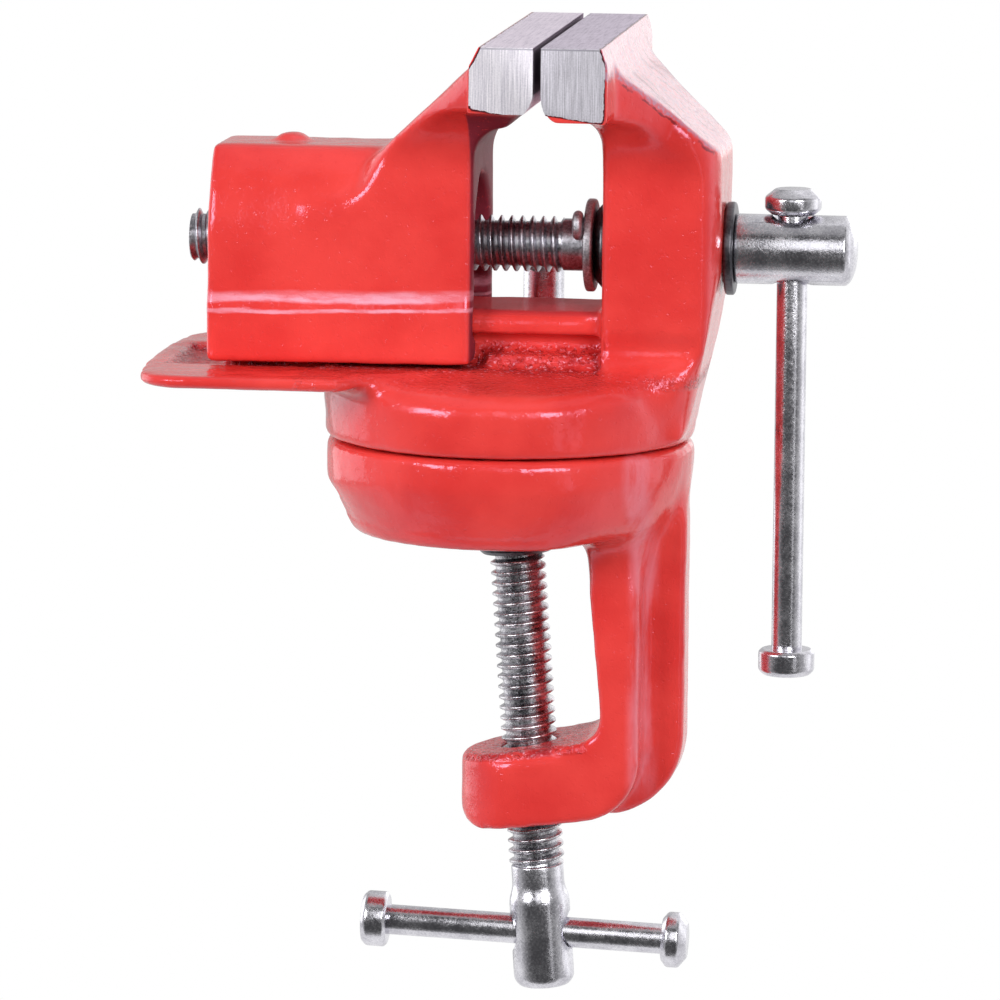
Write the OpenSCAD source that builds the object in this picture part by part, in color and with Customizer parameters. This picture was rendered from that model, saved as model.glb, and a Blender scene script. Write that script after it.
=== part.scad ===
// Mini bench vise: swivel base on a screw clamp, sliding jaw driven by a long screw.
// Frame: X along the jaw screw towards its handle, Y to the back, Z up.
// The origin is on the swivel axis, in the plane of the face that bears on the bench.

/* [Jaws] */
// Width of the gripping faces
jaw_w = 60; // [52:1:66]
// Half width of each neck where it meets the jaw tip
neck_half = 22; // [21.6:0.1:24]
// Height of the ground jaw tip
tip_h = 10.3; // [9:0.1:11.5]
// Thickness of the ground jaw tip
tip_t = 9.2; // [8.4:0.1:10]
// Opening between the gripping faces at rest
jaw_gap = 1; // [0.6:0.1:3]
// Radius of the flare under the fixed jaw tip
fixed_flare_r = 9; // [8:0.1:9.4]
// Radius of the flare under the sliding jaw tip
slide_flare_r = 9; // [8:0.1:9.4]

/* [Sliding jaw] */
// Length of the hood over the screw
hood_l = 37.8; // [34:0.2:40]
// Half width of the hood
hood_half = 12; // [11.8:0.1:12.6]
// Half width of the flat top of the hood
hood_top_half = 6; // [5:0.1:7]
// Wall of the hood beside the screw tunnel
hood_wall = 4.2; // [3.6:0.1:4.6]
// Thickness of the hood end wall
hood_end_wall = 5; // [4:0.1:6]
// Length of the threaded boss in the hood
nut_l = 10; // [8:0.5:12]
// How far the skirt stands out from the hood
skirt_lip = 0.5; // [0.3:0.1:0.8]
// Height of the skirt band
skirt_h = 9.4; // [8.8:0.1:10]
// Rise of the skirt's lower edge from its free end to the jaw
skirt_rake = 0.4; // [0.2:0.1:0.8]

/* [Fixed jaw and base] */
// Radius of the swivel disc
disc_r = 26.7; // [26.2:0.1:27.4]
// Height of the swivel disc
disc_h = 8.8; // [8.4:0.1:9.2]
// Thickness of the tongue
plate_t = 1.9; // [1.7:0.1:2.2]
// Reach of the tongue from the swivel axis
tongue_l = 51.4; // [49:0.1:54]
// Half width of the tongue
tongue_half = 25.5; // [24.5:0.1:26]
// Corner radius of the tongue
tongue_corner_r = 7; // [5:0.5:8]
// Radius that the end of the tongue is bowed to
tongue_bow_r = 150; // [120:5:200]
// Half width of the guide rail
rail_half = 9.1; // [8.6:0.1:9.2]
// Thickness of the guide rail
rail_t = 3.3; // [3:0.1:3.4]
// Half width of the upright under the fixed jaw
upright_half = 12.4; // [11.6:0.1:13]
// Thickness of the upright along the screw
upright_t = 16.5; // [15.5:0.1:17]

/* [Jaw screw] */
// Outside diameter of the jaw screw
screw_d = 8; // [7.6:0.1:8.2]
// Diameter of the jaw screw head
head_d = 9.9; // [9.4:0.1:10.4]
// Length of the jaw screw head
head_l = 17.2; // [16:0.2:18]
// Outside diameter of the washers
washer_d = 13.2; // [12.4:0.1:13.6]
// Thickness of the flat washers
washer_t = 1.3; // [1:0.1:1.4]
// Thickness of the dished washer
dish_t = 1.9; // [1.5:0.1:2]

/* [Handle bars] */
// Diameter of the bars
bar_d = 4.34; // [4:0.02:4.4]
// Diameter of the bar caps
cap_d = 8; // [7.4:0.1:8.4]
// Length of the bar caps
cap_l = 3.7; // [3.3:0.1:4]
// Overall length of the jaw screw bar
jaw_bar_l = 69.6; // [60:0.5:80]
// Overall length of the clamp bar
clamp_bar_l = 47.2; // [42:0.5:52]
// Tilt of the clamp bar in its loose hole
clamp_bar_tilt = 6.2; // [5:0.1:6.6]

/* [Clamp] */
// Height of the clamp head
clamp_head_h = 13.2; // [12.6:0.1:14]
// Radius of the clamp head at the swivel
swivel_r = 26.2; // [25.8:0.1:26.8]
// Radius of the face that bears on the bench
bench_face_r = 22.6; // [22:0.1:23.4]
// Lean of the clamp screw from the vertical
clamp_lean = 4.1; // [3.4:0.1:4.6]
// Depth of the throat below the bench face at the screw
throat_h = 31.2; // [30:0.2:33]
// Half width of the clamp arm
arm_half = 9.7; // [9.2:0.1:10.2]
// Thickness of the clamp arm
arm_t = 10.7; // [10:0.1:11.2]
// Rise of the clamp arm towards the spine
arm_tilt = 8; // [7:0.5:9]
// Half thickness of the stiffening rib
rib_half = 4; // [3.6:0.1:4.6]
// Diameter of the pressure pad
pad_d = 11; // [10:0.1:12]
// Thickness of the pressure pad
pad_t = 2.6; // [2.4:0.1:2.8]

/* [Swivel lock] */
// Diameter of the lock screw head
lock_d = 5.9; // [5.6:0.1:6.4]
// Height of the lock screw head
lock_h = 15.9; // [14:0.1:17]
// Distance of the lock screw from the swivel axis
lock_y = 19.4; // [19.2:0.1:19.8]

/* [Hidden] */
$fn = 72;

// Fits
run_gap = 0.05;
slide_gap = 0.15;
free_gap = 0.3;
press_gap = 0.01;
sink = 0.5;
over = 1;
arc_steps = 10;

// Heights above the bench face
disc_z = clamp_head_h + free_gap;
disc_top = disc_z + disc_h;
plate_drop = 0.2;
plate_z = disc_top - plate_drop;
plate_top = plate_z + plate_t;
web_h = 4.9;
rail_z = plate_top + web_h;
rail_top = rail_z + rail_t;
screw_rise = 8.6;
screw_z = rail_top + screw_rise;
hood_z = plate_top + free_gap;
hood_rise = 14;
hood_top = screw_z + hood_rise;
jaw_rise = 30.4;
jaw_top = screw_z + jaw_rise;
fixed_tip_z = jaw_top - tip_h;
tip_step = 1.1;
slide_tip_z = fixed_tip_z + tip_step;

// Stations along the jaw screw
grip_x = 7.45;
fixed_reach = 6.6;
upright_x = grip_x + fixed_reach;
upright_end = upright_x + upright_t;
slide_grip_x = grip_x - jaw_gap;
slide_reach = 10.6;
hood_end = slide_grip_x - slide_reach;
hood_start = hood_end - hood_l;
nut_inset = 2.8;
nut_end = hood_end - nut_inset;
washer_x = upright_end + run_gap;
head_x = washer_x + washer_t + run_gap;
head_dome = 1.5;
bar_inset = 8;
bar_x = head_x + bar_inset;
screw_stub = 4;
screw_tip_x = hood_start - screw_stub;
dish_x = upright_x - run_gap - dish_t;
thrust_x = dish_x - run_gap - washer_t;
pin_r = 0.7;
pin_turn = 57;
pin_x = thrust_x - run_gap - pin_r;

// Guide of the sliding jaw
web_half = 6;

// Jaw screw and bars
screw_r = screw_d / 2;
bar_r = bar_d / 2;
cap_r = cap_d / 2;
bar_play = 0.66;
bar_hole_r = bar_r + bar_play;
cap_floor = 1;
cap_seat = cap_l - cap_floor;
main_bar_top = screw_z + head_d / 2 + run_gap + cap_l;

// Clamp screw, measured down its own leaning axis
clamp_x = 0.95;
pad_top = 0.8;
spigot_r = 2;
spigot_l = 1.8;
thread_top = pad_top + pad_t + free_gap;
thread_end = 49.4;
clamp_head_top = 54;
clamp_end = 66.8;
clamp_neck_r = 3.8;
clamp_knob_r = 4.35;
clamp_bar_z = 58.9;
clamp_bar_shift = -2.4;

// Swivel pivot
pivot_r = 3;
pivot_recess_r = 9.5;
pivot_recess_h = 6.5;
pivot_head_h = 3.8;
pivot_flats = 10;
pivot_washer_r = 6;
pivot_washer_t = 1.6;
pivot_depth = 8;

// Lock screw
lock_x = 2.3;
lock_shank_r = 2.5;
lock_z = plate_top + free_gap;
lock_bar_r = 1.5;
lock_bar_l = 17;
lock_bar_rise = 12.6;
lock_bar_z = lock_z + lock_bar_rise;

paint = [0.82, 0.1, 0.09];
steel = [0.72, 0.72, 0.74];
dark_steel = [0.35, 0.35, 0.37];

// Points of an arc about c from angle a to angle b, less any left out at its start
function arc(c, r, a, b, skip = 0) =
    [for (i = [skip:arc_steps]) c + r * [cos(a + (b - a) * i / arc_steps), sin(a + (b - a) * i / arc_steps)]];

// Points of an oval arc about c, with its half width and half height
function oval(c, half, a, b) = [for (q = arc([0, 0], 1, a, b)) c + [half[0] * q[0], half[1] * q[1]]];

// The same points seen from the other side of the second axis, in reverse order
function flip(points) = [for (i = [len(points) - 1:-1:0]) [-points[i][0], points[i][1]]];

// The same points seen from the other side of the first axis, in reverse order down to the first one wanted
function flop(points, first = 0) = [for (i = [len(points) - 1:-1:first]) [points[i][0], -points[i][1]]];

// Side outline drawn in X and Z, given thickness across Y
module side_plate(points, half) {
    rotate([90, 0, 0])
        linear_extrude(2 * half, center = true)
            polygon(points);
}

// End outline drawn in Y and Z, run along X from x0 to x1
module end_run(x0, x1) {
    translate([x0, 0, 0])
        rotate([90, 0, 90])
            linear_extrude(x1 - x0)
                children();
}

// Round bar along X
module x_rod(r, x0, x1) {
    translate([x0, 0, 0])
        rotate([0, 90, 0])
            cylinder(r = r, h = x1 - x0);
}

// Body below a jaw tip: straight sides that flare out to the neck and the full jaw width
module flare_section(half, z0, tip_z, r) {
    wing_drop = 0.7;
    wing_z = tip_z - wing_drop;
    translate([-half, z0])
        square([2 * half, jaw_top - z0]);
    translate([-neck_half, wing_z])
        square([2 * neck_half, jaw_top - wing_z]);
    translate([-jaw_w / 2, tip_z])
        square([jaw_w, jaw_top - tip_z]);
    difference() {
        translate([-half - r, wing_z - r])
            square([2 * (half + r), r + sink]);
        for (s = [-1, 1])
            translate([s * (half + r), wing_z - r])
                circle(r);
    }
}

// Plan of a jaw: full width at the tip, then a neck that tapers back to a straight body
module jaw_plan(x_grip, x_tip, x_taper, half_back, round_r, x_back) {
    turn = sign(x_tip - x_grip);
    side = concat([[x_grip - turn, jaw_w / 2], [x_tip, jaw_w / 2], [x_tip, neck_half], [x_taper, half_back]],
        [for (q = arc([0, half_back - round_r], round_r, 90, 0)) [x_back - turn * (round_r - q[0]), q[1]]]);
    polygon(concat(side, flop(side)));
}

// All space beyond the plane through three points, on the side their order turns about
module beyond(p, q, r) {
    n = cross(q - p, r - p);
    reach = 100;
    translate(p)
        rotate([0, acos(n[2] / norm(n)), atan2(n[1], n[0])])
            translate([-reach / 2, -reach / 2, 0])
                cube(reach);
}

// Ring lying across X
module x_ring(x, r_out, r_in, t) {
    difference() {
        x_rod(r_out, x, x + t);
        x_rod(r_in, x - over, x + t + over);
    }
}

// Turned cap with a blind seat for the end of a bar, seat facing down
module bar_cap() {
    outer_bevel = 0.9;
    inner_bevel = 0.5;
    difference() {
        rotate_extrude()
            polygon([[0, 0], [cap_r - inner_bevel, 0], [cap_r, inner_bevel], [cap_r, cap_l - outer_bevel],
                [cap_r - outer_bevel, cap_l], [0, cap_l]]);
        translate([0, 0, -over])
            cylinder(r = bar_r + press_gap, h = cap_seat + over);
    }
}

// Frame of the leaning clamp screw
module on_clamp_axis() {
    translate([clamp_x, 0, 0])
        rotate([0, -clamp_lean, 0])
            children();
}

// Frame of the clamp bar, along its own X
module on_clamp_bar() {
    on_clamp_axis()
        translate([0, 0, -clamp_bar_z])
            rotate([0, clamp_bar_tilt, 0])
                children();
}

// Cast clamp: round head, spine with a rib, and the arm that carries the clamp screw
module clamp_frame() {
    spine_in = 11.65;
    spine_low = 14.35;
    spine_out = 19.85;
    rib_inset = 0.5;
    rib_out = swivel_r - rib_inset;
    arm_mid = clamp_x + throat_h * tan(clamp_lean);
    fillet_r = 4;
    corner_r = 9;
    toe_r = 4;
    rib_corner_r = 12;
    rib_turn = 80;
    rib_root = 2;
    rise = tan(arm_tilt);
    function arm_top(x) = -throat_h + (x - arm_mid) * rise;
    function arm_low(x) = arm_top(x) - arm_t / cos(arm_tilt);
    arm_left = arm_mid - arm_half;
    low_corner = arm_low(spine_out - corner_r);
    kink_h = 6.6;
    edge = 0.6;
    kink_r = swivel_r - edge;
    color(paint)
        difference() {
            union() {
                rotate_extrude()
                    polygon([[0, 0], [bench_face_r - edge, 0], [bench_face_r, edge], [kink_r, kink_h],
                        [swivel_r, kink_h + edge], [swivel_r, clamp_head_h - edge],
                        [swivel_r - edge, clamp_head_h], [0, clamp_head_h]]);
                intersection() {
                    side_plate(concat(
                        [[spine_in, sink], [spine_low, arm_top(spine_low) + fillet_r]],
                        arc([spine_low - fillet_r, arm_top(spine_low) + fillet_r], fillet_r,
                            0, -90 + arm_tilt, 1),
                        [[arm_left - sink, arm_top(arm_left - sink)]],
                        arc([arm_left - sink + toe_r, arm_low(arm_left + toe_r) + toe_r], toe_r,
                            180, 270 + arm_tilt),
                        arc([spine_out - corner_r, low_corner + corner_r], corner_r, -90 + arm_tilt, 0),
                        [[spine_out, sink]]), arm_half);
                    translate([0, 0, -2 * throat_h])
                        linear_extrude(2 * throat_h + sink)
                            union() {
                                translate([arm_mid, 0])
                                    circle(arm_half);
                                translate([arm_mid, -arm_half])
                                    square([spine_out - arm_mid + sink, 2 * arm_half]);
                            }
                }
                side_plate(concat(
                    [[spine_out - rib_root, kink_h], [spine_out - rib_root, low_corner + corner_r],
                        [spine_out - corner_r, low_corner + 2 * sink]],
                    arc([rib_out - rib_corner_r, low_corner + rib_corner_r], rib_corner_r, -rib_turn, 0),
                    [[rib_out, kink_h]]), rib_half);
            }
            translate([0, 0, -over])
                cylinder(r = pivot_recess_r, h = pivot_recess_h + over);
            cylinder(r = pivot_r + run_gap, h = clamp_head_h + over);
            on_clamp_axis()
                translate([0, 0, -throat_h - 2 * arm_t])
                    cylinder(r = screw_r + run_gap, h = 3 * arm_t);
        }
}

// Hexagon bolt that the base turns on, its head in the recess under the clamp head
module pivot_bolt() {
    head_z = pivot_recess_h - pivot_washer_t - pivot_head_h;
    end_gap = 1;
    color(dark_steel) {
        translate([0, 0, head_z])
            cylinder(r = pivot_flats / sqrt(3), h = pivot_head_h, $fn = 6);
        translate([0, 0, head_z + pivot_head_h - sink])
            cylinder(r = pivot_r, h = disc_z + pivot_depth - end_gap - head_z - pivot_head_h + sink);
    }
}

// Flat washer on the pivot bolt
module pivot_washer() {
    color(dark_steel)
        translate([0, 0, pivot_recess_h - pivot_washer_t])
            difference() {
                cylinder(r = pivot_washer_r, h = pivot_washer_t);
                translate([0, 0, -over])
                    cylinder(r = pivot_r + run_gap, h = pivot_washer_t + 2 * over);
            }
}

// Cast base: swivel disc with a low roof, tongue, T rail, upright and fixed jaw
module swivel_body() {
    disc_edge = 2;
    disc_draft = 0.4;
    roof_drop = 0.3;
    roof_inset = 1.2;
    crest_r = 24;
    crest_half = 10.5;
    rim = 3.4;
    pocket_half = 11;
    pocket_deep = 1;
    bow_mid = [tongue_bow_r - tongue_l, 0];
    bow_turn = asin((tongue_half - tongue_corner_r) / (tongue_bow_r - tongue_corner_r));
    corner = bow_mid - (tongue_bow_r - tongue_corner_r) * [cos(bow_turn), sin(bow_turn)];
    cheek_x = -21;
    cheek_end = -9;
    cheek_half = 13;
    tongue_side = concat(
        arc(bow_mid, tongue_bow_r, 180, 180 + bow_turn),
        arc(corner, tongue_corner_r, 180 + bow_turn, 270, 1),
        [[cheek_x, -tongue_half], [cheek_end, -cheek_half], [0, -cheek_half]]);
    rail_inset = 1.5;
    step_half = 9;
    step_h = 2.1;
    foot_r = 1.8;
    foot_inset = 1;
    waist_drop = 3;
    waist_rise = 3.4;
    waist_x = upright_end - 1.9;
    toe_x = disc_r - 0.8;
    inner_r = 4.1;
    grip_round = [2.2, 4.2];
    tip_x = grip_x + tip_t;
    crown = [0.8, 2.4];
    brow = [1.2, 4.7];
    shoulder = [0.4, 0.8];
    shoulder_z = jaw_top - 15.4;
    end_r = 6.4;
    bulge = 1.6;
    lock_seat_r = 4.5;
    color(paint)
        difference() {
            union() {
                translate([0, 0, disc_z])
                    rotate_extrude()
                        polygon(concat([[0, 0], [disc_r - disc_draft, 0]],
                            arc([disc_r - disc_edge, disc_h - disc_edge], disc_edge, 0, 90), [[0, disc_h]]));
                intersection() {
                    rotate_extrude()
                        polygon([[0, plate_z - over], [disc_r - roof_inset, plate_z - over],
                            [disc_r - roof_inset, disc_top - roof_drop], [crest_r, plate_top],
                            [0, plate_top]]);
                    end_run(-disc_r, disc_r)
                        polygon([[-disc_r, plate_z - 2 * over], [disc_r, plate_z - 2 * over],
                            [disc_r, disc_top - roof_drop], [crest_half, plate_top], [-crest_half, plate_top],
                            [-disc_r, disc_top - roof_drop]]);
                }
                translate([0, 0, plate_z])
                    difference() {
                        linear_extrude(plate_t)
                            polygon(concat(tongue_side, flop(tongue_side, 1)));
                        translate([rim - tongue_l, -pocket_half, plate_t - pocket_deep])
                            cube([tongue_l - rim - disc_r, 2 * pocket_half, plate_t]);
                    }
                translate([lock_x, lock_y, disc_z + over])
                    cylinder(r = lock_seat_r, h = plate_top - disc_z - over);
                end_run(hood_start + rail_inset, upright_x + sink) {
                    translate([-rail_half, rail_z])
                        square([2 * rail_half, rail_t]);
                    translate([-web_half, plate_z + sink])
                        square([2 * web_half, rail_z - plate_z]);
                }
                end_run(hood_end + jaw_gap + free_gap, upright_x + sink)
                    translate([-step_half, plate_z])
                        square([2 * step_half, plate_t + step_h]);
                intersection() {
                    side_plate(concat(
                        [[upright_x, disc_z + over], [upright_x, fixed_tip_z - inner_r]],
                        arc([upright_x - inner_r, fixed_tip_z - inner_r], inner_r, 0, 90, 1),
                        oval([grip_x + grip_round[0], fixed_tip_z + grip_round[1]], grip_round, 270, 180),
                        [[grip_x, jaw_top], [tip_x - crown[0], jaw_top], [tip_x, jaw_top - crown[1]],
                            [tip_x + brow[0], jaw_top - brow[1]], [upright_end - shoulder[0], shoulder_z],
                            [upright_end, shoulder_z - shoulder[1]], [upright_end, screw_z - waist_drop],
                            [waist_x, plate_top + waist_rise], [toe_x, disc_z + over]]), jaw_w / 2);
                    end_run(grip_x - over, upright_end + over)
                        flare_section(upright_half, disc_z, fixed_tip_z, fixed_flare_r);
                    linear_extrude(jaw_top + over)
                        jaw_plan(grip_x, tip_x, upright_end - end_r - sink, upright_half + bulge, end_r,
                            upright_end);
                }
                end_run(upright_x + foot_inset, waist_x - foot_inset)
                    difference() {
                        translate([-upright_half - foot_r, disc_top - sink])
                            square([2 * (upright_half + foot_r), plate_top + foot_r - disc_top + sink]);
                        for (s = [-1, 1])
                            translate([s * (upright_half + foot_r), plate_top + foot_r])
                                circle(foot_r);
                    }
            }
            translate([0, 0, screw_z])
                x_rod(screw_r + run_gap, upright_x - over, upright_end + over);
            translate([0, 0, disc_z - over])
                cylinder(r = pivot_r + run_gap, h = pivot_depth + over);
            translate([lock_x, lock_y, disc_z - over])
                cylinder(r = lock_shank_r + run_gap, h = plate_top - disc_z + 2 * over);
        }
}

// Cast sliding jaw: hood over the screw, skirt round the rail, leaning neck and jaw tip
module moving_jaw() {
    shoulder_r = 20.6;
    shoulder_turn = asin(hood_rise / shoulder_r);
    side = arc([hood_half - shoulder_r, screw_z], shoulder_r, 0, shoulder_turn);
    top_edge = [hood_top_half, hood_top];
    skirt_bevel = 1;
    skirt_low = hood_z - sink;
    skirt_top = hood_z + skirt_h;
    tunnel_rise = 9.9;
    tunnel_half = hood_half - hood_wall;
    tunnel_z = screw_z + tunnel_rise - tunnel_half;
    channel_half = rail_half + slide_gap;
    lip_half = web_half + slide_gap;
    lip_top = rail_z - slide_gap;
    channel_top = rail_top + slide_gap;
    tip_x = slide_grip_x - tip_t;
    tip_low = slide_tip_z - sink;
    grip_round = [2.8, 4];
    crown = [1.6, 3.2];
    back_drop = 2.6;
    under_r = 5;
    under_z = slide_tip_z - 3.5 - under_r;
    neck_x = hood_end - 24;
    ledge_z = screw_z + 7;
    ledge_fall = 0.6;
    ledge_run = 4;
    slope_x = hood_end - 14.4;
    slope_z = screw_z + 10.1;
    slope_toe = [1.7, 1.9];
    bevel_w = 2;
    bevel_h = 2.8;
    ridge_low = [slope_x, hood_half, slope_z];
    ridge = [tip_x, neck_half, jaw_top - 5.6] - ridge_low;
    foot_share = 0.15;
    toe_share = 1.04;
    foot = ridge_low - foot_share * ridge;
    toe = ridge_low + toe_share * ridge;
    neck_low = [5, 3.6];
    skin = 0.1;
    button_x = hood_start + 10.4;
    button_r = 2.5;
    button_h = 1.2;
    button_round = 0.9;
    color(paint)
        difference() {
            union() {
                end_run(hood_start, hood_end)
                    polygon(concat([[hood_half, skirt_low]], side, [top_edge], flip([top_edge]),
                        flip(side), [[-hood_half, skirt_low]]));
                end_run(hood_start, hood_end)
                    polygon([[-hood_half - skirt_lip, skirt_low], [hood_half + skirt_lip, skirt_low],
                        [hood_half + skirt_lip, skirt_top - skirt_bevel], [hood_half, skirt_top],
                        [-hood_half, skirt_top], [-hood_half - skirt_lip, skirt_top - skirt_bevel]]);
                intersection() {
                    side_plate(concat(
                        [[hood_end, screw_z], [hood_end, under_z]],
                        arc([hood_end + under_r, under_z], under_r, 180, 90, 1),
                        oval([slide_grip_x - grip_round[0], tip_low + grip_round[1]], grip_round, 270, 360),
                        [[slide_grip_x, jaw_top], [tip_x + crown[0], jaw_top], [tip_x, jaw_top - crown[1]],
                            [tip_x, slide_tip_z - back_drop], [slope_x, slope_z],
                            [slope_x - slope_toe[0], slope_z - slope_toe[1]], [slope_x - ledge_run, ledge_z],
                            [neck_x, ledge_z - ledge_fall], [neck_x, screw_z]]), jaw_w / 2);
                    end_run(neck_x - over, slide_grip_x + over)
                        flare_section(hood_half, screw_z - over, slide_tip_z, slide_flare_r);
                    linear_extrude(jaw_top + over)
                        jaw_plan(slide_grip_x, tip_x, slope_x, hood_half, sink, neck_x - over);
                }
                difference() {
                    intersection() {
                        side_plate([[foot[0], screw_z + over], [hood_end - sink, screw_z + over],
                            [hood_end - sink, slide_tip_z - neck_low[0]], [toe[0], slide_tip_z - neck_low[1]],
                            [toe[0], toe[2] + bevel_h], [foot[0], foot[2] + bevel_h]], jaw_w / 2);
                        end_run(foot[0] - over, slide_grip_x)
                            flare_section(hood_half - skin, screw_z - over, slide_tip_z, slide_flare_r);
                        linear_extrude(jaw_top + over)
                            polygon([[foot[0], -foot[1]], [toe[0], -toe[1]], [toe[0], toe[1]],
                                [foot[0], foot[1]]]);
                    }
                    for (s = [0, 1])
                        mirror([0, s, 0])
                            beyond(foot, foot + [0, -bevel_w, bevel_h], toe);
                }
                translate([button_x, 0, hood_top - sink])
                    rotate_extrude()
                        polygon([[0, 0], [button_r, 0], [button_r, sink + button_h - button_round],
                            [button_r - button_round, sink + button_h], [0, sink + button_h]]);
            }
            beyond([hood_start, 0, hood_z], [hood_start, over, hood_z], [hood_end, 0, hood_z + skirt_rake]);
            for (run = [[hood_start + hood_end_wall, nut_end - nut_l], [nut_end, hood_end + over]])
                end_run(run[0], run[1])
                    union() {
                        translate([0, tunnel_z])
                            circle(tunnel_half);
                        translate([-tunnel_half, channel_top - sink])
                            square([2 * tunnel_half, tunnel_z - channel_top + sink]);
                    }
            end_run(hood_start - over, hood_end + over) {
                translate([-channel_half, lip_top])
                    square([2 * channel_half, channel_top - lip_top]);
                translate([-lip_half, skirt_low - over])
                    square([2 * lip_half, lip_top - skirt_low + over + sink]);
            }
            translate([0, 0, screw_z])
                x_rod(screw_r + run_gap, hood_start - over, hood_end);
        }
}

// Jaw screw with its round head, cross hole and pin hole
module main_screw() {
    tip_bevel = 0.8;
    head_edge = 0.3;
    head_step = [0.4, 0.6];
    dome_r = 3.5;
    dome_top_r = 2.3;
    color(steel)
        translate([0, 0, screw_z])
            difference() {
                rotate([0, 90, 0])
                    rotate_extrude()
                        polygon([[0, screw_tip_x], [screw_r - tip_bevel, screw_tip_x],
                            [screw_r, screw_tip_x + tip_bevel], [screw_r, head_x],
                            [head_d / 2 - head_edge, head_x],
                            [head_d / 2, head_x + head_edge], [head_d / 2, head_x + head_l - head_dome],
                            [head_d / 2 - head_step[0], head_x + head_l - head_dome + head_step[1]],
                            [dome_r, head_x + head_l - head_edge], [dome_top_r, head_x + head_l],
                            [0, head_x + head_l]]);
                translate([bar_x, 0, -head_d])
                    cylinder(r = bar_hole_r, h = 2 * head_d);
                pin_frame()
                    translate([0, 0, -head_d])
                        cylinder(r = pin_r + press_gap, h = 2 * head_d);
            }
}

// Frame of the cross pin, its head towards the front and up
module pin_frame() {
    translate([pin_x, 0, 0])
        rotate([pin_turn, 0, 0])
            children();
}

// Flat washer under the screw head
module head_washer() {
    color(dark_steel)
        translate([0, 0, screw_z])
            x_ring(washer_x, washer_d / 2, screw_r + slide_gap, washer_t);
}

// Flat washer that takes the pull of the screw
module thrust_washer() {
    color(steel)
        translate([0, 0, screw_z])
            x_ring(thrust_x, washer_d / 2, screw_r + slide_gap, washer_t);
}

// Dished washer between the thrust washer and the upright
module dished_washer() {
    rim_r = washer_d / 2 - 0.4;
    rim_t = 0.8;
    crown_r = rim_r - 1.4;
    bore_r = screw_r + slide_gap;
    color(dark_steel)
        translate([dish_x, 0, screw_z])
            rotate([0, 90, 0])
                rotate_extrude()
                    polygon([[bore_r, 0], [crown_r, 0], [rim_r, dish_t - rim_t], [rim_r, dish_t],
                        [bore_r, dish_t]]);
}

// Split pin with a ring head that keeps the washers on the screw
module retaining_pin() {
    ring_r = 1.4;
    ring_z = screw_r + ring_r + pin_r + run_gap;
    tail = 2.2;
    color(dark_steel)
        translate([0, 0, screw_z])
            pin_frame() {
                translate([0, 0, -screw_r - tail])
                    cylinder(r = pin_r, h = ring_z - ring_r + screw_r + tail);
                translate([0, 0, ring_z])
                    rotate([0, 90, 0])
                        rotate_extrude()
                            translate([ring_r, 0])
                                circle(pin_r);
            }
}

// Bar that slides in the head of the jaw screw
module main_bar() {
    color(steel)
        translate([bar_x, 0, main_bar_top - jaw_bar_l + cap_l - cap_seat])
            cylinder(r = bar_r, h = jaw_bar_l - 2 * (cap_l - cap_seat));
}

// Cap resting on the screw head
module main_bar_upper_cap() {
    color(steel)
        translate([bar_x, 0, main_bar_top - cap_l])
            bar_cap();
}

// Cap at the hanging end of the bar
module main_bar_lower_cap() {
    color(steel)
        translate([bar_x, 0, main_bar_top - jaw_bar_l + cap_l])
            rotate([180, 0, 0])
                bar_cap();
}

// Pad on the end of the clamp screw
module pressure_pad() {
    pad_edge = 0.5;
    color(dark_steel)
        on_clamp_axis()
            translate([0, 0, -pad_top - pad_t])
                difference() {
                    rotate_extrude()
                        polygon([[0, 0], [pad_d / 2 - pad_edge, 0], [pad_d / 2, pad_edge],
                            [pad_d / 2, pad_t - pad_edge], [pad_d / 2 - pad_edge, pad_t], [0, pad_t]]);
                    translate([0, 0, -over])
                        cylinder(r = spigot_r + run_gap, h = spigot_l + over);
                }
}

// Clamp screw with its turned head and cross hole
module clamp_screw() {
    bevel = 0.7;
    knob_slope = 1.6;
    color(steel)
        on_clamp_axis()
            difference() {
                rotate_extrude()
                    polygon([[0, -thread_top + free_gap + spigot_l - run_gap],
                        [spigot_r, -thread_top + free_gap + spigot_l - run_gap], [spigot_r, -thread_top],
                        [screw_r - bevel, -thread_top], [screw_r, -thread_top - bevel],
                        [screw_r, -thread_end],
                        [clamp_neck_r, -thread_end], [clamp_neck_r, -clamp_head_top + knob_slope],
                        [clamp_knob_r, -clamp_head_top], [clamp_knob_r, -clamp_end + bevel],
                        [clamp_knob_r - bevel, -clamp_end], [0, -clamp_end]]);
                translate([0, 0, -clamp_bar_z])
                    x_rod(bar_hole_r, -screw_d, screw_d);
            }
}

// Bar that slides in the head of the clamp screw
module clamp_bar() {
    color(steel)
        on_clamp_bar()
            x_rod(bar_r, clamp_bar_shift - clamp_bar_l / 2 + cap_l - cap_seat,
                clamp_bar_shift + clamp_bar_l / 2 - cap_l + cap_seat);
}

// Caps of the clamp bar
module clamp_bar_left_cap() {
    color(steel)
        on_clamp_bar()
            translate([clamp_bar_shift - clamp_bar_l / 2 + cap_l, 0, 0])
                rotate([0, -90, 0])
                    bar_cap();
}

module clamp_bar_right_cap() {
    color(steel)
        on_clamp_bar()
            translate([clamp_bar_shift + clamp_bar_l / 2 - cap_l, 0, 0])
                rotate([0, 90, 0])
                    bar_cap();
}

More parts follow.
